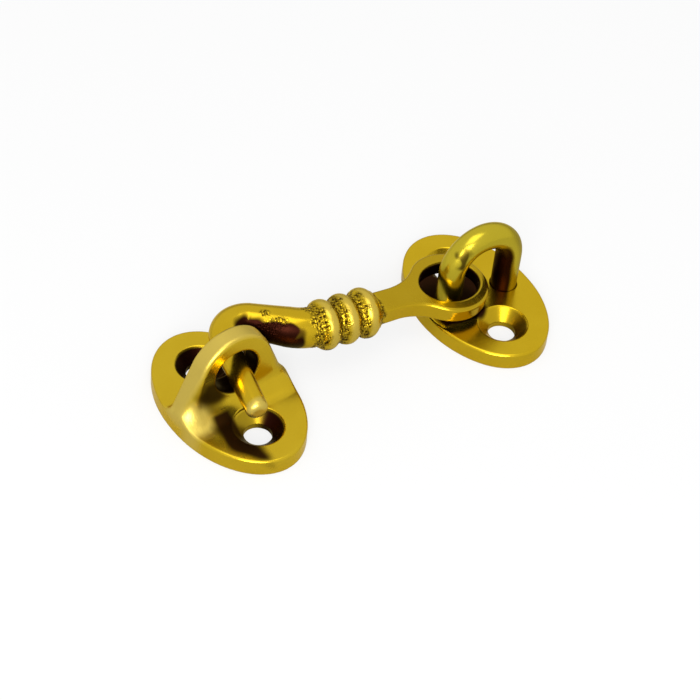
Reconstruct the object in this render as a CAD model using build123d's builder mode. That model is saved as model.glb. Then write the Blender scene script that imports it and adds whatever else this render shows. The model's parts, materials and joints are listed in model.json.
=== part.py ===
from build123d import *
from math import asin, cos, radians, sin
import os

# Cast brass door hook: an oval plate with a riveted staple, a hook whose flat ring hangs on the
# staple, and an oval keeper plate whose arch takes the hook's tip. Millimetres, +Z up. The backs of
# both plates lie on Z = 0, the origin is the middle of the staple plate's back, and +X points from
# the keeper to the staple. At rest the hook is engaged.

# Oval plates, the same for staple and keeper, with their long axes along Y
plate_length = 30.0
plate_width = 19.5
plate_thickness = 2.8
plate_edge_round = 0.45
screw_spacing = 15.3
screw_hole_diameter = 4.3
countersink_diameter = 7.9
countersink_angle = 90

# Staple, a round bar bent to a U and riveted over at the back of its plate
staple_diameter = 4.2
staple_leg_spacing = 10.8
staple_height = 16.8
rivet_diameter = 5.4
rivet_depth = 0.9
rivet_clearance = 0.02

# Oval ring and neck of the hook, flat and tapering in thickness towards the ring's far side
ring_hole_length = 10.2
ring_hole_width = 7.9
ring_end_wall = 1.35
ring_side_wall = 2.3
ring_thickness = 2.4
ring_edge_round = 0.4
neck_width = 4.3
neck_thickness = 3.6
neck_fillet = 9.0

# Three turned beads along the hook's axis, counted from the ring
bead_count = 3
bead_diameter = 8.0
bead_width = 2.8
bead_pitch = 3.55
bead_groove_diameter = 6.3
first_bead_distance = 15.9
bead_shoulder = 0.4

# Cranked round shank, bend and tip, measured along the bar's middle line
shank_diameter = 6.2
elbow_diameter = 5.4
tip_root_diameter = 4.0
tip_diameter = 3.4
tip_chamfer = 0.8
crank_radius = 10.0
crank_angle = 32
crank_run = 6.0
bend_radius = 3.8
tip_lean = 7
tip_length = 14.0

# How the hook lies: its ring over the plate, its near side lower, its tip through the keeper
ring_offset_x = -5.25
ring_offset_y = 0.65
ring_lift = 3.0
hook_roll = 5.5
hook_yaw = 1.0
tip_stand_out = 9.6
tip_sag = 0.4
tip_side = 0.8

# Keeper arch across the plate's short axis
keeper_turn = 5
arch_hole_diameter = 7.4
arch_hole_rise = 6.25
arch_crown_wall = 2.75
arch_crown_radius = 6.5
arch_crown_thickness = 3.0
arch_base_thickness = 3.8
arch_front_fillet = 3.4
arch_back_fillet = 1.5

# Middle line of the cranked bar in the hook's own plane: x from the ring's centre, y to the tip's side
last_bead_distance = first_bead_distance + (bead_count - 1) * bead_pitch
with BuildLine() as bar_line:
    crank = JernArc((last_bead_distance, 0), (1, 0), crank_radius, -crank_angle)
    run = Line(crank @ 1, (crank @ 1) + (crank % 1) * crank_run)
    bend = JernArc(run @ 1, run % 1, bend_radius, crank_angle + 90 - tip_lean)
    tip = Line(bend @ 1, (bend @ 1) + (bend % 1) * tip_length)

# The hook's plane: the ring stands over its plate and the tip meets the keeper's hole
arch_hole_z = plate_thickness + arch_hole_rise
ring_z = plate_thickness + ring_lift
crossing = tip @ (1 - tip_stand_out / tip_length)
roll = radians(hook_roll)
pitch = asin((arch_hole_z - tip_sag - ring_z + crossing.Y * sin(roll)) / crossing.X)
yaw = radians(hook_yaw)
hook_axis = Vector(-cos(pitch) * cos(yaw), cos(pitch) * sin(yaw), sin(pitch))
hook_normal = Vector(0, cos(roll), sin(roll)).cross(hook_axis)
hook_plane = Plane((ring_offset_x, ring_offset_y, ring_z), x_dir=hook_axis, z_dir=hook_normal)
hook_side = Plane(hook_plane.origin, x_dir=hook_axis, z_dir=-hook_plane.y_dir)

# The keeper stands where the tip crosses its arch
keeper_x_dir = Vector(cos(radians(keeper_turn)), sin(radians(keeper_turn)), 0)
keeper_foot = hook_plane.from_local_coords(crossing) - keeper_x_dir * tip_side
keeper_plane = Plane((keeper_foot.X, keeper_foot.Y, 0), x_dir=keeper_x_dir, z_dir=(0, 0, 1))
keeper_side = Plane(keeper_plane.origin, x_dir=keeper_plane.y_dir, z_dir=keeper_plane.x_dir)
keeper_front = Plane(keeper_plane.origin, x_dir=keeper_plane.x_dir, z_dir=-keeper_plane.y_dir)

screw_places = [(0, -screw_spacing / 2), (0, screw_spacing / 2)]
leg_places = [(-staple_leg_spacing / 2, 0), (staple_leg_spacing / 2, 0)]


def screw_holes(top):
    """Two countersunk screw holes through a plate, sunk from the plane of its top face."""
    with Locations(top):
        with Locations(*screw_places):
            CounterSinkHole(
                screw_hole_diameter / 2,
                countersink_diameter / 2,
                counter_sink_angle=countersink_angle,
            )


# Staple plate: a flat oval with a softened upper edge, screw holes and countersunk rivet holes
with BuildPart() as staple_plate:
    with BuildSketch():
        Ellipse(plate_width / 2, plate_length / 2)
    extrude(amount=plate_thickness)
    fillet(staple_plate.faces().sort_by(Axis.Z)[-1].edges(), plate_edge_round)
    screw_holes(Plane.XY.offset(plate_thickness))
    with Locations(*leg_places):
        Cylinder(
            staple_diameter / 2 + rivet_clearance,
            plate_thickness,
            align=(Align.CENTER, Align.CENTER, Align.MIN),
            mode=Mode.SUBTRACT,
        )
        Cone(
            rivet_diameter / 2 + rivet_clearance,
            staple_diameter / 2 + rivet_clearance,
            rivet_depth,
            align=(Align.CENTER, Align.CENTER, Align.MIN),
            mode=Mode.SUBTRACT,
        )

# Staple: the bent bar with both ends spread into the plate's countersinks, flush with its back
staple_reach = staple_leg_spacing / 2
staple_spring = staple_height - staple_diameter / 2 - staple_reach
with BuildPart() as staple:
    with BuildLine(Plane.XZ) as staple_line:
        near_leg = Line((-staple_reach, 0), (-staple_reach, staple_spring))
        crown = ThreePointArc(
            (-staple_reach, staple_spring),
            (0, staple_spring + staple_reach),
            (staple_reach, staple_spring),
        )
        far_leg = Line((staple_reach, staple_spring), (staple_reach, 0))
    with BuildSketch():
        with Locations(leg_places[0]):
            Circle(staple_diameter / 2)
    sweep()
    with Locations(*leg_places):
        Cone(
            rivet_diameter / 2,
            staple_diameter / 2,
            rivet_depth,
            align=(Align.CENTER, Align.CENTER, Align.MIN),
        )


def across_bar(stretch, t):
    """Plane square to the hook's bar, a share t of the way along one stretch of its middle line."""
    middle = hook_plane.from_local_coords(stretch @ t)
    ahead = hook_plane.from_local_coords((stretch @ t) + (stretch % t))
    return Plane(middle, x_dir=hook_normal, z_dir=ahead - middle)


# Hook arm: flat ring and neck, turned beads and the tapering cranked bar, cast as one piece
ring_reach = ring_hole_length / 2 + ring_end_wall
ring_half_width = ring_hole_width / 2 + ring_side_wall
neck_end = first_bead_distance
bead_start = first_bead_distance - bead_width / 2 - bead_shoulder
with BuildPart() as hook_arm:
    with BuildSketch(hook_plane) as flat:
        Ellipse(ring_reach, ring_half_width)
        with Locations((neck_end / 2, 0)):
            Rectangle(neck_end, neck_width)
        fillet(flat.vertices().sort_by(Axis.X)[:2], neck_fillet)
        Ellipse(ring_hole_length / 2, ring_hole_width / 2, mode=Mode.SUBTRACT)
    extrude(amount=neck_thickness, both=True)
    with BuildSketch(hook_side):
        Polygon(
            (-ring_reach, -ring_thickness / 2),
            (neck_end, -neck_thickness / 2),
            (neck_end, neck_thickness / 2),
            (-ring_reach, ring_thickness / 2),
            align=None,
        )
    extrude(amount=ring_reach + ring_half_width, both=True, mode=Mode.INTERSECT)
    rims = hook_arm.edges().filter_by(lambda e: hook_plane.to_local_coords(e.center()).X < bead_start)
    fillet(rims, ring_edge_round)
    with BuildSketch(hook_side):
        with BuildLine():
            Line((bead_start, 0), (bead_start, bead_groove_diameter / 2))
            left = bead_start
            for i in range(bead_count):
                middle = first_bead_distance + i * bead_pitch
                Line((left, bead_groove_diameter / 2), (middle - bead_width / 2, bead_groove_diameter / 2))
                left = middle + bead_width / 2
                ThreePointArc(
                    (middle - bead_width / 2, bead_groove_diameter / 2),
                    (middle, bead_diameter / 2),
                    (left, bead_groove_diameter / 2),
                )
            Line((left, bead_groove_diameter / 2), (left, 0))
            Line((left, 0), (bead_start, 0))
        make_face()
    revolve(axis=Axis(hook_plane.origin, hook_axis))
    bar_sections = [(crank, 0, shank_diameter), (crank, 0.5, shank_diameter), (crank, 1, shank_diameter)]
    bar_sections += [(run, 1, elbow_diameter)]
    for t in (0.25, 0.5, 0.75, 1):
        bar_sections += [(bend, t, elbow_diameter + (tip_root_diameter - elbow_diameter) * t)]
    for stretch, t, diameter in bar_sections:
        with BuildSketch(across_bar(stretch, t)):
            Circle(diameter / 2)
    loft()
    tip_root = across_bar(tip, 0)
    with BuildSketch(Plane(tip_root.origin, x_dir=tip_root.z_dir, z_dir=hook_normal)):
        Polygon(
            (0, 0),
            (0, tip_root_diameter / 2),
            (tip_length - tip_chamfer, tip_diameter / 2),
            (tip_length, tip_diameter / 2 - tip_chamfer),
            (tip_length, 0),
            align=None,
        )
    revolve(axis=Axis(tip_root.origin, tip_root.z_dir))

# Keeper plate: the same oval with an arch across it, cast as one piece. The near screw's head is let
# into the broad fillet at the arch's front.
arch_crown = arch_hole_z + arch_hole_diameter / 2 + arch_crown_wall
with BuildPart() as keeper_plate:
    with BuildSketch(keeper_side) as section:
        with Locations((0, plate_thickness / 2)):
            Rectangle(plate_length, plate_thickness)
        Polygon(
            (-arch_base_thickness / 2, plate_thickness),
            (arch_base_thickness / 2, plate_thickness),
            (arch_crown_thickness / 2, arch_crown),
            (-arch_crown_thickness / 2, arch_crown),
            align=None,
        )
        roots = section.vertices().group_by(Axis.Y)[1].sort_by(Axis.X)
        fillet(roots[1], arch_front_fillet)
        fillet(section.vertices().group_by(Axis.Y)[1].sort_by(Axis.X)[-2], arch_back_fillet)
    extrude(amount=plate_width, both=True)
    with BuildSketch(keeper_plane):
        Ellipse(plate_width / 2, plate_length / 2)
    extrude(amount=arch_crown, mode=Mode.INTERSECT)
    with BuildSketch(keeper_front):
        with Locations((0, plate_thickness / 2)):
            Rectangle(plate_width, plate_thickness)
        with Locations((0, arch_crown - arch_crown_radius)):
            Circle(arch_crown_radius)
        make_hull()
    extrude(amount=plate_length, both=True, mode=Mode.INTERSECT)
    with BuildSketch(keeper_front):
        with Locations((0, arch_hole_z)):
            Circle(arch_hole_diameter / 2)
    extrude(amount=plate_length, both=True, mode=Mode.SUBTRACT)
    screw_holes(keeper_plane.offset(plate_thickness))
    with Locations(keeper_plane.offset(plate_thickness)):
        with Locations(screw_places[0]):
            Cylinder(
                countersink_diameter / 2,
                arch_front_fillet,
                align=(Align.CENTER, Align.CENTER, Align.MIN),
                mode=Mode.SUBTRACT,
            )

os.makedirs("parts", exist_ok=True)
nodes = {
    "staple_plate": staple_plate,
    "staple": staple,
    "hook_arm": hook_arm,
    "keeper_plate": keeper_plate,
}
for name, piece in nodes.items():
    piece.part.label = name
    export_step(piece.part, f"parts/{name}.step")
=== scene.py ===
import json
from math import cos, pi, radians, sin, sqrt

import bpy
import numpy as np
from mathutils import Matrix, Vector


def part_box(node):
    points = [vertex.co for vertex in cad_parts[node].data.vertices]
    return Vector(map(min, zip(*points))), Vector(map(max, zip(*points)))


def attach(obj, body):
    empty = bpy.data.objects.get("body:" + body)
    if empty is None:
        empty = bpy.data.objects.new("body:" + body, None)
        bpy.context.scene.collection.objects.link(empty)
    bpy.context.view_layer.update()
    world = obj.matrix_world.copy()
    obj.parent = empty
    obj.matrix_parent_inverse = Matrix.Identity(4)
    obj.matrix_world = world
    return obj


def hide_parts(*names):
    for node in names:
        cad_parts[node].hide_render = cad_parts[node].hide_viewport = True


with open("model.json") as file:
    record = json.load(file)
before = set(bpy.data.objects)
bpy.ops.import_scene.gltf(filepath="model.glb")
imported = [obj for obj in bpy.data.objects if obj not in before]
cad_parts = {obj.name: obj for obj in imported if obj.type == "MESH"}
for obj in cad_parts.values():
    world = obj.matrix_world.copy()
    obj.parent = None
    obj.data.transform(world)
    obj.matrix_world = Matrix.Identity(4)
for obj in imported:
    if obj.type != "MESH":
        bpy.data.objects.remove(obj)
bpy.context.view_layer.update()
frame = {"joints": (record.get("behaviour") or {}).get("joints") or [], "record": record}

# Staple plate
# An oval plate of cast yellow brass, faced flat and polished, with two countersunk screw holes on
# its long axis. Both legs of the staple go through it and are riveted over at its back.
MM = 0.001
plate_low, plate_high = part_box("staple_plate")
plate_width = (plate_high.x - plate_low.x) / MM
plate_length = (plate_high.y - plate_low.y) / MM
plate_thickness = (plate_high.z - plate_low.z) / MM
screw_pattern = next(m for m in frame["record"]["mounts"] if m["name"] == "staple_plate_screws")
screw_spacing = screw_pattern["dims"]["pcd_mm"]
screw_places = (-screw_spacing / 2, screw_spacing / 2)
screw_hole_radius = screw_pattern["dims"]["hole_r_mm"]
countersink_radius = 3.95
plate_edge_round = 0.45
plate_back_round = 0.15
screw_rim_round = 0.12
leg_spacing = 10.8
bar_radius = 2.1
rivet_radius = 2.7
rivet_depth = 0.9
leg_gap = 0.05
leg_rim_round = 0.15
ring_shade_spots = ((-5.2, 0.6), (-3.0, 3.6))
ring_shade_radius = (6.8, 5.4)
# Paler tone laid on satin places as a painted highlight
satin_highlight_tone = (0.60, 0.45, 0.085)
# Dark colour for painted shade and painted dark reflections, and for the dark pits of the cast skin
shade_and_pit_tone = (0.018, 0.004, 0.002)
plate_step = 0.15


def trim(form, cut, soft):
    """What both forms hold, with the edge between them rounded to a radius."""
    corner = np.hypot(np.maximum(soft + form, 0), np.maximum(soft + cut, 0))
    return np.minimum(-soft, np.maximum(form, cut)) + corner


def merge(form, other, soft):
    """What either form holds, with a fillet where they meet."""
    return -trim(-form, -other, soft)


def soft_step(start, end, value):
    """A smooth rise from none to one as a value goes from start to end."""
    share = np.clip((value - start) / (end - start), 0, 1)
    return share * share * (3 - 2 * share)


def oval(x, y, half_x, half_y):
    """Distance outside an oval's edge."""
    reach = np.maximum(np.hypot(x / half_x, y / half_y), 1e-6)
    slope = np.maximum(np.hypot(x / half_x**2, y / half_y**2), 1e-6 / half_x)
    return reach * (reach - 1) / slope


def oval_plate(x, y, z, above):
    """A plate under the given upper surface, with both countersunk screw holes."""
    edge = oval(x, y, plate_width / 2, plate_length / 2)
    body = trim(trim(edge, above, plate_edge_round), -z, plate_back_round)
    for place in screw_places:
        from_axis = np.hypot(x, y - place)
        sink = (from_axis - countersink_radius + np.maximum(plate_thickness - z, 0)) / sqrt(2)
        body = trim(body, -np.minimum(from_axis - screw_hole_radius, sink), screw_rim_round)
    return body


def staple_plate_form(x, y, z):
    body = oval_plate(x, y, z, z - plate_thickness)
    from_leg = np.hypot(np.abs(x) - leg_spacing / 2, y) - leg_gap
    spread = from_leg - rivet_radius + z * (rivet_radius - bar_radius) / rivet_depth
    return trim(body, -np.minimum(from_leg - bar_radius, spread), leg_rim_round)


def in_countersink(x, y, z, place):
    """How far a spot lies inside one countersink, from its rim inwards."""
    from_axis = np.hypot(x, y - place)
    return soft_step(0.05, -0.35, from_axis - countersink_radius) * soft_step(0, -0.2, z - plate_thickness)


def hand_polish(x, y, z, length, seed):
    """Slow unevenness, about one in size, that a buffing wheel leaves over a length in millimetres."""
    draw = np.random.default_rng(seed)
    total = 0
    for _ in range(9):
        heading = draw.normal(size=3)
        heading *= 2 * pi / (length * draw.uniform(0.7, 1.5) * np.linalg.norm(heading))
        total = total + np.cos(heading[0] * x + heading[1] * y + heading[2] * z + draw.uniform(0, 2 * pi))
    return total / 3


def slope_of(form, spots, reach=0.02):
    """Direction in which a form's distance grows fastest, at each spot."""
    steps = np.eye(3) * reach
    sides = [form(*(spots + s).T) - form(*(spots - s).T) for s in steps]
    return np.stack(sides, axis=1) / (2 * reach)


def cast(name, form, low, high, step, finish=None, marks=None):
    """Closed quad mesh of a form, in millimetres inside low and high, settled on its finished surface."""
    finish = finish or form
    start = np.array(low) / MM - 1.6 * step
    lines = [np.arange(a, b / MM + 2.6 * step, step) for a, b in zip(start, high)]
    depth = form(*np.meshgrid(*lines, indexing="ij"))
    unit = np.eye(3, dtype=int)
    spots, cells = [], []
    for axis in range(3):
        one, two = unit[(axis + 1) % 3], unit[(axis + 2) % 3]
        here = np.delete(depth, -1, axis)
        there = np.delete(depth, 0, axis)
        edges = np.argwhere((here < 0) != (there < 0))
        a, b = here[tuple(edges.T)], there[tuple(edges.T)]
        crossing = edges + (a / (a - b))[:, None] * unit[axis]
        ring = np.stack([edges - one - two, edges - two, edges, edges - one], axis=1)
        ring[a > 0] = ring[a > 0][:, ::-1]
        spots.append(np.repeat(crossing, 4, axis=0))
        cells.append(ring.reshape(-1, 3))
    numbers = np.ravel_multi_index(np.concatenate(cells).T, depth.shape)
    corners = np.unique(numbers, return_inverse=True)[1].reshape(-1)
    shares = np.bincount(corners)
    middle = np.stack([np.bincount(corners, weights=w) / shares for w in np.concatenate(spots).T], axis=1)
    points = start + middle * step
    for _ in range(4):
        slope = slope_of(finish, points)
        points = points - slope * (finish(*points.T) / (slope**2).sum(axis=1))[:, None]
    mesh = bpy.data.meshes.new(name)
    mesh.from_pydata((points * MM).tolist(), [], corners.reshape(-1, 4).tolist())
    mesh.shade_smooth()
    slope = slope_of(finish, points)
    mesh.normals_split_custom_set_from_vertices((slope / np.linalg.norm(slope, axis=1)[:, None]).tolist())
    for mark, values in (marks or {}).items():
        held = mesh.attributes.new(mark, "FLOAT", "POINT")
        held.data.foreach_set("value", np.clip(values(*points.T), 0, 1).astype(np.float32))
    piece = bpy.data.objects.new(name, mesh)
    bpy.context.scene.collection.objects.link(piece)
    return piece


def wire(tree, source, target):
    tree.links.new(source, target)


def brass_finish_group():
    """Shared look of polished brass: tone, painted shade in creases and marked places, cast grain, a paler
    satin tone as painted highlight, haze and fine scratches.
    """
    group = bpy.data.node_groups.new("brass_finish", "ShaderNodeTree")
    ports = group.interface
    for name, kind, default in (
        ("Bright Tone", "NodeSocketColor", (0.8, 0.6, 0.2, 1)),
        ("Deep Tone", "NodeSocketColor", (0.6, 0.4, 0.1, 1)),
        ("Satin Highlight Tone", "NodeSocketColor", (0.7, 0.5, 0.1, 1)),
        ("Shade_And_Pit_Tone", "NodeSocketColor", (0.1, 0.06, 0.02, 1)),
        ("Grain", "NodeSocketFloat", 0),
        ("Satin", "NodeSocketFloat", 0),
        ("Painted_Shade", "NodeSocketFloat", 0),
        ("Polish", "NodeSocketFloat", 0.12),
        ("Haze", "NodeSocketFloat", 0.08),
    ):
        ports.new_socket(name, in_out="INPUT", socket_type=kind).default_value = default
    ports.new_socket("Color", in_out="OUTPUT", socket_type="NodeSocketColor")
    ports.new_socket("Roughness", in_out="OUTPUT", socket_type="NodeSocketFloat")
    ports.new_socket("Height", in_out="OUTPUT", socket_type="NodeSocketFloat")
    add = group.nodes.new
    inside, outside = add("NodeGroupInput"), add("NodeGroupOutput")
    place = add("ShaderNodeTexCoord")

    clouds = add("ShaderNodeTexNoise")
    clouds.inputs["Scale"].default_value = 160
    clouds.inputs["Detail"].default_value = 3
    wire(group, place.outputs["Object"], clouds.inputs["Vector"])
    tone = add("ShaderNodeMix")
    tone.data_type = "RGBA"
    wire(group, clouds.outputs["Fac"], tone.inputs["Factor"])
    wire(group, inside.outputs["Bright Tone"], tone.inputs["A"])
    wire(group, inside.outputs["Deep Tone"], tone.inputs["B"])
    satin_highlighted = add("ShaderNodeMix")
    satin_highlighted.data_type = "RGBA"
    wire(group, inside.outputs["Satin"], satin_highlighted.inputs["Factor"])
    wire(group, tone.outputs["Result"], satin_highlighted.inputs["A"])
    wire(group, inside.outputs["Satin Highlight Tone"], satin_highlighted.inputs["B"])

    # Painted shade in creases from the mesh's pointiness, joined with the painted-shade mark and the cast
    # grain
    shape = add("ShaderNodeNewGeometry")
    crease_shade = add("ShaderNodeMapRange")
    crease_shade.inputs["From Min"].default_value = 0.485
    crease_shade.inputs["From Max"].default_value = 0.42
    crease_shade.inputs["To Max"].default_value = 0.4
    wire(group, shape.outputs["Pointiness"], crease_shade.inputs["Value"])
    shade_mask = add("ShaderNodeMath")
    shade_mask.operation = "MAXIMUM"
    wire(group, crease_shade.outputs["Result"], shade_mask.inputs[0])
    wire(group, inside.outputs["Painted_Shade"], shade_mask.inputs[1])
    shade_and_pits = add("ShaderNodeMath")
    shade_and_pits.operation = "MAXIMUM"
    wire(group, shade_mask.outputs["Value"], shade_and_pits.inputs[0])
    wire(group, inside.outputs["Grain"], shade_and_pits.inputs[1])
    shaded_and_pitted = add("ShaderNodeMix")
    shaded_and_pitted.data_type = "RGBA"
    wire(group, shade_and_pits.outputs["Value"], shaded_and_pitted.inputs["Factor"])
    wire(group, satin_highlighted.outputs["Result"], shaded_and_pitted.inputs["A"])
    wire(group, inside.outputs["Shade_And_Pit_Tone"], shaded_and_pitted.inputs["B"])
    wire(group, shaded_and_pitted.outputs["Result"], outside.inputs["Color"])

    stretch = add("ShaderNodeMapping")
    stretch.inputs["Scale"].default_value = (5200, 600, 2600)
    wire(group, place.outputs["Object"], stretch.inputs["Vector"])
    scratches = add("ShaderNodeTexNoise")
    scratches.inputs["Scale"].default_value = 1
    scratches.inputs["Detail"].default_value = 2
    wire(group, stretch.outputs["Vector"], scratches.inputs["Vector"])
    smear = add("ShaderNodeTexNoise")
    smear.inputs["Scale"].default_value = 420
    smear.inputs["Detail"].default_value = 4
    wire(group, place.outputs["Object"], smear.inputs["Vector"])
    worn = add("ShaderNodeMath")
    worn.operation = "MULTIPLY"
    wire(group, smear.outputs["Fac"], worn.inputs[0])
    wire(group, scratches.outputs["Fac"], worn.inputs[1])
    haze = add("ShaderNodeMath")
    haze.operation = "MULTIPLY_ADD"
    wire(group, worn.outputs["Value"], haze.inputs[0])
    wire(group, inside.outputs["Haze"], haze.inputs[1])
    wire(group, inside.outputs["Polish"], haze.inputs[2])
    satin = add("ShaderNodeMath")
    satin.operation = "MULTIPLY_ADD"
    satin.inputs[1].default_value = 0.16
    wire(group, inside.outputs["Satin"], satin.inputs[0])
    wire(group, haze.outputs["Value"], satin.inputs[2])
    rough = add("ShaderNodeMath")
    rough.operation = "MULTIPLY_ADD"
    rough.inputs[1].default_value = 0.18
    wire(group, shade_and_pits.outputs["Value"], rough.inputs[0])
    wire(group, satin.outputs["Value"], rough.inputs[2])
    wire(group, rough.outputs["Value"], outside.inputs["Roughness"])

    lines = add("ShaderNodeMath")
    lines.operation = "MULTIPLY"
    wire(group, scratches.outputs["Fac"], lines.inputs[0])
    wire(group, inside.outputs["Satin"], lines.inputs[1])
    specks = add("ShaderNodeTexNoise")
    specks.inputs["Scale"].default_value = 5200
    specks.inputs["Detail"].default_value = 2
    wire(group, place.outputs["Object"], specks.inputs["Vector"])
    sand = add("ShaderNodeMath")
    sand.operation = "MULTIPLY_ADD"
    wire(group, specks.outputs["Fac"], sand.inputs[0])
    wire(group, inside.outputs["Grain"], sand.inputs[1])
    wire(group, lines.outputs["Value"], sand.inputs[2])
    wire(group, sand.outputs["Value"], outside.inputs["Height"])
    return group


brass_finish = brass_finish_group()


def brass(name, bright, deep, polish, haze):
    """Polished brass with its own tones and gloss, marked by the piece's grain and satin places, with
    painted shade and a painted highlight in the satin tone.
    """
    finish = bpy.data.materials.new(name)
    finish.use_nodes = True
    tree = finish.node_tree
    metal = tree.nodes["Principled BSDF"]
    metal.inputs["Metallic"].default_value = 1
    metal.inputs["Specular Tint"].default_value = (1, 0.9, 0.6, 1)
    look = tree.nodes.new("ShaderNodeGroup")
    look.node_tree = brass_finish
    look.inputs["Bright Tone"].default_value = (*bright, 1)
    look.inputs["Deep Tone"].default_value = (*deep, 1)
    look.inputs["Satin Highlight Tone"].default_value = (*satin_highlight_tone, 1)
    look.inputs["Shade_And_Pit_Tone"].default_value = (*shade_and_pit_tone, 1)
    look.inputs["Polish"].default_value = polish
    look.inputs["Haze"].default_value = haze
    # The painted-shade mark darkens a piece towards the dark tone: painted shade and painted dark
    # reflections
    for mark in ("Grain", "Satin", "Painted_Shade"):
        held = tree.nodes.new("ShaderNodeAttribute")
        held.attribute_name = mark.lower()
        wire(tree, held.outputs["Fac"], look.inputs[mark])
    relief = tree.nodes.new("ShaderNodeBump")
    relief.inputs["Strength"].default_value = 0.35
    relief.inputs["Distance"].default_value = 0.00008
    wire(tree, look.outputs["Height"], relief.inputs["Height"])
    wire(tree, look.outputs["Color"], metal.inputs["Base Color"])
    wire(tree, look.outputs["Roughness"], metal.inputs["Roughness"])
    wire(tree, relief.outputs["Normal"], metal.inputs["Normal"])
    return finish


def seat(piece, finish, node, body):
    """The finished piece takes its node's place on a body."""
    piece.data.materials.append(finish)
    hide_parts(node)
    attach(piece, body)


def staple_plate_finish(x, y, z):
    return staple_plate_form(x, y, z) + 0.012 * hand_polish(x, y, z, 9, 3)


def plate_painted_shade(x, y, z):
    """Painted shadow under the hook's ring, and painted shade in the countersinks, darker on one side of
    the near one.
    """
    ragged = 0.5 * hand_polish(x, y, z, 4, 41)
    from_shade = np.minimum.reduce([np.hypot(x - sx, y - sy) for sx, sy in ring_shade_spots])
    off_rim = soft_step(-0.4, -1.2, oval(x, y, plate_width / 2, plate_length / 2))
    ring_shadow = soft_step(*ring_shade_radius, from_shade + ragged) * off_rim
    near, far = [in_countersink(x, y, z, place) for place in screw_places]
    turned = soft_step(-0.4, 1.0, np.sin(np.arctan2(y - screw_places[0], x) + 2.4))
    return np.maximum.reduce((ring_shadow, near * (0.15 + 0.65 * turned), far * 0.3))


staple_plate = cast(
    "staple_plate_cast",
    staple_plate_form,
    plate_low,
    plate_high,
    plate_step,
    staple_plate_finish,
    {"painted_shade": plate_painted_shade},
)
plate_brass = brass("plate_brass", (0.61, 0.42, 0.018), (0.52, 0.34, 0.009), 0.18, 0.16)
seat(staple_plate, plate_brass, "staple_plate", "plates")

# Staple
# A round brass bar bent to a U and polished. Its legs go through the plate, and their ends are
# spread into countersinks at the back, flush with it, after the hook's ring has been threaded on.
staple_low, staple_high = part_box("staple")
rivet_rim_round = 0.2
# Centre of a painted dark reflection streak on the staple's bend
reflection_streak_spot = (-5.0, -1.6, 13.8)
staple_step = 0.14


def outside_u(x, z):
    """Distance outside the U that the bar's middle line makes."""
    spring = staple_high.z / MM - bar_radius - leg_spacing / 2
    return np.where(z > spring, np.hypot(x, z - spring), np.abs(x)) - leg_spacing / 2


def staple_form(x, y, z):
    from_middle = np.hypot(outside_u(x, z), y)
    spread = from_middle - rivet_radius + z * (rivet_radius - bar_radius) / rivet_depth
    rivet = np.maximum(spread, z - rivet_depth)
    return trim(np.minimum(from_middle - bar_radius, rivet), -z, rivet_rim_round)


def staple_finish(x, y, z):
    return staple_form(x, y, z) + 0.02 * hand_polish(x, y, z, 5, 11)


def staple_painted_shade(x, y, z):
    """Painted shade: the inner side of the bent bar, more of it on the leg away from the ring, and that
    leg's outer side; and a painted dark reflection streak on the bend.
    """
    inward = -outside_u(x, z) / bar_radius + 0.04 * hand_polish(x, y, z, 4, 43)
    lean = 0.6 * soft_step(1, 4, x)
    inside = soft_step(0.65 - lean, 1.0 - lean, inward)
    outside = 0.45 * soft_step(0, -0.7, inward) * soft_step(3.5, 6, x)
    dx, dy, dz = x - reflection_streak_spot[0], y - reflection_streak_spot[1], z - reflection_streak_spot[2]
    reflection_streak = np.sqrt(((dx + dz) / 2.0) ** 2 + (dy / 0.9) ** 2 + ((dz - dx) / 2.2) ** 2)
    reflection_streak = 0.85 * soft_step(1.3, 0.6, reflection_streak + 0.35 * hand_polish(x, y, z, 1.5, 49))
    return np.maximum.reduce((inside, outside, reflection_streak))


staple = cast(
    "staple_bar", staple_form, staple_low, staple_high, staple_step, staple_finish, {"painted_shade": staple_painted_shade}
)
staple_brass = brass("staple_brass", (0.55, 0.44, 0.036), (0.46, 0.36, 0.016), 0.19, 0.18)
seat(staple, staple_brass, "staple", "plates")

# Hook arm
# One brass casting: a flat ring and flared neck, three turned beads and a cranked round bar that
# tapers round a bend to the tip. Polished, with the cast skin left in the grooves and on the shank.
arm_low, arm_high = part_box("hook_arm")
swing = frame["joints"][0]
ring_middle = np.array(swing["pos_m"]) / MM
arm_normal = -Vector(swing["axis"]).normalized()
arm_yaw = radians(1.0)
arm_heading = Vector((-cos(arm_yaw), sin(arm_yaw), 0))
arm_axis = (arm_heading - Vector((0, 0, arm_heading.dot(arm_normal) / arm_normal.z))).normalized()
arm_side = arm_normal.cross(arm_axis)
ring_hole = (5.1, 3.95)
ring_outside = (6.45, 6.25)
ring_thickness = 2.4
neck_width = 4.3
neck_thickness = 3.6
neck_fillet = 9.0
ring_round = 0.55
bead_places = (15.9, 19.45, 23.0)
bead_radius = 4.0
bead_half_width = 1.4
groove_radius = 3.15
bead_shoulder = 0.4
bead_core_round = 0.25
groove_fillet = 0.3
collar_fillet = 0.7
# Bar stretches from the last bead: length, turn to the tip's side in radians, first and last radius
bend_radius = 3.8
crank_radius = 10.0
crank_turn = radians(32)
bend_turn = crank_turn + radians(83)
bar_stretches = (
    (crank_radius * crank_turn, -crank_turn, 3.1, 3.1),
    (6.0, 0, 3.1, 2.7),
    (bend_radius * bend_turn, bend_turn, 2.7, 2.0),
    (14.0, 0, 2.0, 1.7),
)
tip_round = 1.0
# Cast skin left on the arm: places along it with half widths, and a patch on the shank
skin_places = ((17.7, 0.95), (21.2, 0.95), (25.0, 1.0), (13.8, 0.6))
skin_patch = (31.8, -1.0, 2.2)
skin_patch_radius = 1.5
skin_height = 0.045
arm_step = 0.14


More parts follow.
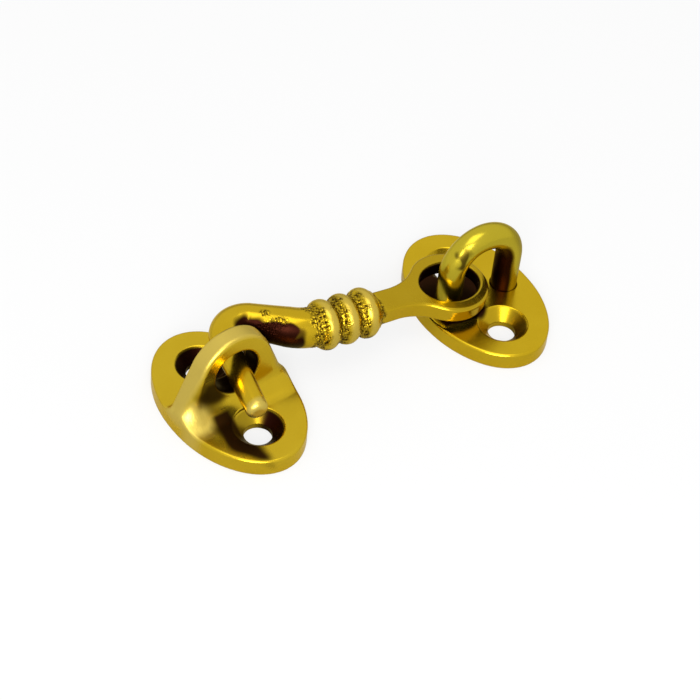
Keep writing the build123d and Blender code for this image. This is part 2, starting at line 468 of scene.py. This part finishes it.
def along_arm(x, y, z):
    """Places on the arm: along its axis from the ring, to the tip's side, and up from its plane."""
    dx, dy, dz = x - ring_middle[0], y - ring_middle[1], z - ring_middle[2]
    return [dx * way.x + dy * way.y + dz * way.z for way in (arm_axis, arm_side, arm_normal)]


def flare_places():
    """Middle of the neck's flare, and the place where the flare touches the ring's outside."""
    round_ring = np.linspace(0, pi / 2, 9001)
    rim = np.stack([ring_outside[0] * np.cos(round_ring), ring_outside[1] * np.sin(round_ring)])
    out = np.stack([ring_outside[1] * np.cos(round_ring), ring_outside[0] * np.sin(round_ring)])
    flares = rim + neck_fillet * out / np.hypot(*out)
    touch = np.argmin(np.abs(flares[1] - neck_width / 2 - neck_fillet))
    return flares[:, touch], rim[:, touch]


(flare_u, flare_v), (touch_u, touch_v) = flare_places()


def ring_and_neck(u, v, w):
    """Flat oval ring, flaring from the neck, thinner towards the ring's far end."""
    side = np.abs(v)
    flare = neck_fillet - np.hypot(u - flare_u, side - flare_v)
    past_touch = (u - touch_u) * (flare_v - touch_v) > (side - touch_v) * (flare_u - touch_u)
    edge = np.where(past_touch, flare, oval(u, v, *ring_outside))
    edge = np.where(u > flare_u, side - neck_width / 2, edge)
    share = (u + ring_outside[0]) / (bead_places[0] + ring_outside[0])
    faces = np.abs(w) - (ring_thickness + (neck_thickness - ring_thickness) * share) / 2
    body = trim(edge, faces, ring_round)
    body = trim(body, -oval(u, v, *ring_hole), ring_round)
    return np.maximum(body, u - bead_places[0])


def beads(u, v, w):
    """Three round beads on a plain core."""
    from_axis = np.hypot(v, w)
    rise = bead_radius - groove_radius
    swell = (bead_half_width**2 + rise**2) / (2 * rise)
    start = bead_places[0] - bead_half_width - bead_shoulder
    body = trim(from_axis - groove_radius, np.maximum(start - u, u - bead_places[-1]), bead_core_round)
    for place in bead_places:
        bead = np.hypot(u - place, from_axis - bead_radius + swell) - swell
        body = merge(body, bead, groove_fillet)
    return body


def bar(u, v, w):
    """Round bar along the bar stretches, each of them a straight run or an arc."""
    spot, heading = np.array([bead_places[-1], 0.0]), 0.0
    body = np.inf
    for number, (length, turn, first, last) in enumerate(bar_stretches, 1):
        way = np.array([cos(heading), sin(heading)])
        left = np.array([-way[1], way[0]])
        ahead = (u - spot[0]) * way[0] + (v - spot[1]) * way[1]
        aside = (u - spot[0]) * left[0] + (v - spot[1]) * left[1]
        if turn:
            radius = length / turn
            angle = np.arctan2(ahead, (radius - aside) * np.sign(turn))
            along = angle * abs(radius)
            aside = np.hypot(ahead, radius - aside) - abs(radius)
            centre = spot + left * radius
            turned = left * cos(turn) - way * sin(turn)
            end = centre - turned * radius
        else:
            along = ahead
            end = spot + way * length
        share = np.clip(along / length, 0, 1)
        at_tip = number == len(bar_stretches)
        beyond = np.maximum(-along, 0)
        if not at_tip:
            beyond = np.maximum(beyond, along - length)
        stretch = np.sqrt(aside**2 + w**2 + beyond**2) - first - (last - first) * share
        if at_tip:
            stretch = trim(stretch, along - length, tip_round)
        body = np.minimum(body, stretch)
        spot, heading = end, heading + turn
    return body


def hook_arm_form(x, y, z):
    u, v, w = along_arm(x, y, z)
    turned = merge(ring_and_neck(u, v, w), beads(u, v, w), collar_fillet)
    return merge(turned, bar(u, v, w), groove_fillet)


def cast_skin(x, y, z):
    """Where the cast skin was left: both grooves, beside the outer beads and a patch on the shank."""
    u, v, w = along_arm(x, y, z)
    ragged = 0.35 * hand_polish(x, y, z, 1.6, 21)
    share = 0
    for place, half in skin_places:
        share = np.maximum(share, 1.3 - (np.abs(u - place) + ragged) / half)
    patch = np.sqrt((u - skin_patch[0]) ** 2 + (v - skin_patch[1]) ** 2 + (w - skin_patch[2]) ** 2)
    share = np.maximum(share, 1.4 - (patch + 2 * ragged) / skin_patch_radius)
    return np.clip(share * 1.6, 0, 1)


def lumps(x, y, z):
    """Fine unevenness of the cast skin, about one in size, with its pits above none."""
    return hand_polish(x, y, z, 0.5, 31) + 0.7 * hand_polish(x, y, z, 0.36, 32)


def hook_arm_finish(x, y, z):
    polished = hook_arm_form(x, y, z) + 0.015 * hand_polish(x, y, z, 6, 7)
    return polished + skin_height * cast_skin(x, y, z) * lumps(x, y, z)


def pitted(x, y, z):
    """Dark pits of the cast skin."""
    return cast_skin(x, y, z) * (0.55 + 0.5 * lumps(x, y, z))


def arm_painted_shade(x, y, z):
    """Painted shade in the ring's hole and on the underside, a painted dark reflection on the shank by the
    keeper, and the flat top painted faintly darker.
    """
    u, v, w = along_arm(x, y, z)
    slope = slope_of(hook_arm_form, np.stack([x, y, z], axis=1))
    near, up = slope @ np.array(arm_side), slope @ np.array(arm_normal)
    ragged = 0.15 * hand_polish(x, y, z, 3, 45)
    hole = soft_step(0.35, 0.1, oval(u, v, *ring_hole))
    underside_shade = soft_step(-0.35, -0.75, up + ragged)
    ends = 0.25 * np.maximum(29.5 - u, 0) + 0.1 * np.maximum(u - 35, 0)
    shank_reflection = soft_step(0.2, 0.5, near + ragged - ends) * soft_step(-0.9, -0.6, up) * soft_step(39, 37, u)
    flat_top_shade = 0.22 * soft_step(14, 12.5, u) * soft_step(0.3, 0.8, up)
    return np.maximum.reduce((hole, underside_shade, shank_reflection, flat_top_shade))


def satin_and_highlight_spots(x, y, z):
    """The end of the tip and the crests of the beads, satin, with a painted highlight in the paler satin
    tone.
    """
    u, v, w = along_arm(x, y, z)
    on_beads = (u > bead_places[0] - bead_half_width) & (u < bead_places[-1] + bead_half_width)
    crests = soft_step(bead_radius - 0.3, bead_radius, np.hypot(v, w)) * on_beads
    return np.maximum(0.7 * crests, soft_step(arm_low.y / MM + 2.0, arm_low.y / MM + 1.0, y))


hook_arm = cast(
    "hook_arm_cast",
    hook_arm_form,
    arm_low,
    arm_high,
    arm_step,
    hook_arm_finish,
    {"grain": pitted, "painted_shade": arm_painted_shade, "satin": satin_and_highlight_spots},
)
hook_brass = brass("hook_brass", (0.60, 0.41, 0.020), (0.51, 0.33, 0.009), 0.17, 0.18)
seat(hook_arm, hook_brass, "hook_arm", "hook")

# Keeper plate
# One brass casting: the same oval plate with an arch across it, whose round hole takes the tip of
# the hook. Faced and polished, with a satin band left by the belt over the arch and its left foot, painted
# paler there as a highlight.
keeper_mount = next(m for m in frame["record"]["mounts"] if m["name"] == "keeper_plate_back")
keeper_foot = np.array(keeper_mount["pos_m"]) / MM
keeper_turn = radians(5)
keeper_low, keeper_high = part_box("keeper_plate")
arch_crown = keeper_high.z / MM
arch_crown_radius = 6.5
arch_hole_radius = 3.7
arch_crown_wall = 2.75
arch_crown_thickness = 3.0
arch_base_thickness = 3.8
arch_hole_height = arch_crown - arch_crown_wall - arch_hole_radius
arch_front_fillet = 3.4
arch_back_fillet = 1.5
arch_front_round = (2.4, 0.7)
arch_back_round = 0.4
arch_hole_round = 0.5
keeper_step = 0.17


def on_keeper(x, y):
    """Places on the keeper: across it and along it."""
    dx, dy = x - keeper_foot[0], y - keeper_foot[1]
    return dx * cos(keeper_turn) + dy * sin(keeper_turn), dy * cos(keeper_turn) - dx * sin(keeper_turn)


def arch_outline(across, z):
    """Distance outside the arch's front outline: a round crown with straight sides down to the rim."""
    foot = np.array([plate_width / 2, plate_thickness - (arch_crown - arch_crown_radius)])
    reach = np.hypot(*foot)
    lean = np.arctan2(foot[1], foot[0]) + np.arccos(arch_crown_radius / reach)
    out = np.array([np.cos(lean), np.sin(lean)])
    side, rise = np.abs(across), z - (arch_crown - arch_crown_radius)
    over = rise * out[0] - side * out[1]
    return np.where(over > 0, np.hypot(side, rise), side * out[0] + rise * out[1]) - arch_crown_radius


def keeper_form(x, y, z):
    across, along = on_keeper(x, y)
    share = (z - plate_thickness) / (arch_crown - plate_thickness)
    half = (arch_base_thickness + (arch_crown_thickness - arch_base_thickness) * share) / 2
    low_round, high_round = arch_front_round
    front_round = low_round + (high_round - low_round) * np.clip(1.6 * share, 0, 1)
    arch = trim(arch_outline(across, z), -along - half, front_round)
    arch = trim(arch, along - half, arch_back_round)
    arch = trim(arch, arch_hole_radius - np.hypot(across, z - arch_hole_height), arch_hole_round)
    fillet = arch_back_fillet + (arch_front_fillet - arch_back_fillet) * soft_step(1.2, -1.2, along)
    return oval_plate(across, along, z, merge(z - plate_thickness, arch, fillet))


def keeper_finish(x, y, z):
    return keeper_form(x, y, z) + 0.015 * hand_polish(x, y, z, 8, 5)


def belt_satin_and_highlight(x, y, z):
    """The outer band of the arch, which the belt has gone over, and its broad left foot, both satin; their
    paler satin tone is a painted highlight.
    """
    across, along = on_keeper(x, y)
    band = 1 + arch_outline(across, z) / 0.5
    foot = soft_step(3.4, 1.6, np.hypot(across + 7.6, along + 3.2)) * soft_step(7.5, 5.5, z)
    return np.maximum(band, foot)


def keeper_painted_shade(x, y, z):
    """Painted shade in the arch's hole, behind the arch and in both countersinks, darker on one side of the
    near one; painted dark reflections beside the hole and on the plate under the tip.
    """
    across, along = on_keeper(x, y)
    ragged = 0.4 * hand_polish(x, y, z, 3, 47)
    hole = soft_step(0.35, 0.1, np.hypot(across, z - arch_hole_height) - arch_hole_radius)
    hole = hole * (np.abs(along) < 3)
    behind_arch_shade = soft_step(1.0, 1.6, along) * soft_step(6.4, 4.6, np.hypot(across - 2.5, along - 4.5) + ragged)
    hole_side_reflection = soft_step(1.2, 0.4, np.hypot((across + 4.2) / 2.8, (z - 7.0) / 3.4) + 0.3 * ragged)
    hole_side_reflection = 0.9 * hole_side_reflection * soft_step(-0.5, -1.2, along) * soft_step(-4.2, -3.2, along)
    from_screw = np.hypot(across, along - screw_places[0])
    tip_reflection = 0.98 * soft_step(7.4, 5.7, from_screw + ragged) * soft_step(-1.2, -2.8, across)
    tip_reflection = tip_reflection * soft_step(1.2, 0.6, z - plate_thickness)
    near, far = [in_countersink(across, along, z, place) for place in screw_places]
    turned = soft_step(-0.5, 0.5, np.sin(np.arctan2(along - screw_places[0], across) + 2.2))
    return np.maximum.reduce((hole, behind_arch_shade, hole_side_reflection, tip_reflection, near * (0.4 + 0.6 * turned), far))


keeper = cast(
    "keeper_cast",
    keeper_form,
    keeper_low,
    keeper_high,
    keeper_step,
    keeper_finish,
    {"satin": belt_satin_and_highlight, "painted_shade": keeper_painted_shade},
)
keeper_brass = brass("keeper_brass", (0.61, 0.43, 0.024), (0.53, 0.35, 0.012), 0.20, 0.16)
seat(keeper, keeper_brass, "keeper_plate", "plates")

# Floor, light and camera
# A plain white floor under both plates, a white tent that darkens low down behind the part, a soft
# box beside the camera and one overhead, and the camera at the photograph's angle and slight roll.
floor_reach = 0.14
floor_drop = -0.00004
floor_tone = 0.45
floor_glow = 1.1
floor_glow_shares = (("Is Camera Ray", 0.7), ("Is Glossy Ray", 0.14), ("Is Transmission Ray", 0.7))
tent_front = Vector((-0.40, -0.45, 0.80)).normalized()
tent_dark = 0.1
tent_bright = 0.94
floor_mesh = bpy.data.meshes.new("floor")
floor_mesh.from_pydata(
    [(sx * floor_reach, sy * floor_reach, floor_drop) for sx, sy in ((-1, -1), (1, -1), (1, 1), (-1, 1))],
    [],
    [(0, 1, 2, 3)],
)
floor = bpy.data.objects.new("floor", floor_mesh)
bpy.context.scene.collection.objects.link(floor)
floor_white = bpy.data.materials.new("floor_white")
floor_white.use_nodes = True
floor_tree = floor_white.node_tree
paint = floor_tree.nodes["Principled BSDF"]
paint.inputs["Base Color"].default_value = (floor_tone, floor_tone, floor_tone, 1)
paint.inputs["Roughness"].default_value = 0.9
paint.inputs["Specular IOR Level"].default_value = 0
white = floor_tree.nodes.new("ShaderNodeEmission")
white.inputs["Strength"].default_value = floor_glow
rays = floor_tree.nodes.new("ShaderNodeLightPath")
blend = floor_tree.nodes.new("ShaderNodeMixShader")
target = blend.inputs["Fac"]
for ray, share in floor_glow_shares:
    shown = floor_tree.nodes.new("ShaderNodeMath")
    shown.operation = "MULTIPLY_ADD"
    shown.inputs[1].default_value = share
    shown.inputs[2].default_value = 0
    wire(floor_tree, rays.outputs[ray], shown.inputs[0])
    wire(floor_tree, shown.outputs["Value"], target)
    target = shown.inputs[2]
wire(floor_tree, paint.outputs["BSDF"], blend.inputs[1])
wire(floor_tree, white.outputs["Emission"], blend.inputs[2])
wire(floor_tree, blend.outputs["Shader"], floor_tree.nodes["Material Output"].inputs["Surface"])
floor_mesh.materials.append(floor_white)

camera_data = bpy.data.cameras.new("camera")
camera_data.lens = 116.72
camera_data.sensor_width = 36
camera_data.clip_start = 0.01
camera = bpy.data.objects.new("camera", camera_data)
bpy.context.scene.collection.objects.link(camera)
bpy.context.scene.camera = camera
camera_spot = Vector((-0.172092, -0.200200, 0.248006))
aim_spot = Vector((-0.02284, 0.00069, 0))
camera_roll = radians(6.41)
look_way = (aim_spot - camera_spot).to_track_quat("-Z", "Y").to_matrix().to_4x4()
camera.matrix_world = Matrix.Translation(camera_spot) @ look_way @ Matrix.Rotation(camera_roll, 4, "Z")

studio = bpy.data.worlds.new("studio")
bpy.context.scene.world = studio
studio.use_nodes = True
sky = studio.node_tree
tent = sky.nodes["Background"]
direction = sky.nodes.new("ShaderNodeTexCoord")
opening = sky.nodes.new("ShaderNodeVectorMath")
opening.operation = "DOT_PRODUCT"
opening.inputs[1].default_value = tent_front
wire(sky, direction.outputs["Generated"], opening.inputs[0])
fade = sky.nodes.new("ShaderNodeMapRange")
fade.interpolation_type = "SMOOTHSTEP"
fade.inputs["From Min"].default_value = -0.85
fade.inputs["From Max"].default_value = -0.15
fade.inputs["To Min"].default_value = tent_dark
fade.inputs["To Max"].default_value = tent_bright
wire(sky, opening.outputs["Value"], fade.inputs["Value"])
seen = sky.nodes.new("ShaderNodeLightPath")
backdrop = sky.nodes.new("ShaderNodeMath")
backdrop.operation = "MAXIMUM"
wire(sky, fade.outputs["Result"], backdrop.inputs[0])
wire(sky, seen.outputs["Is Camera Ray"], backdrop.inputs[1])
wire(sky, backdrop.outputs["Value"], tent.inputs["Strength"])
tent.inputs["Color"].default_value = (1, 1, 1, 1)


def soft_box(name, spot, aim, size, power):
    """A square soft box of light, aimed at a spot."""
    lamp = bpy.data.lights.new(name, "AREA")
    lamp.shape = "RECTANGLE"
    lamp.size, lamp.size_y = size
    lamp.energy = power
    box = bpy.data.objects.new(name, lamp)
    box.location = spot
    box.rotation_mode = "QUATERNION"
    box.rotation_quaternion = (Vector(aim) - Vector(spot)).to_track_quat("-Z", "Y")
    bpy.context.scene.collection.objects.link(box)


middle = (-0.023, 0, 0)
soft_box("key_box", (-0.30, -0.37, 0.30), middle, (0.28, 0.28), 3.2)
soft_box("top_box", (-0.08, -0.05, 0.50), middle, (0.34, 0.34), 0.6)
bpy.context.scene.view_settings.view_transform = "Standard"
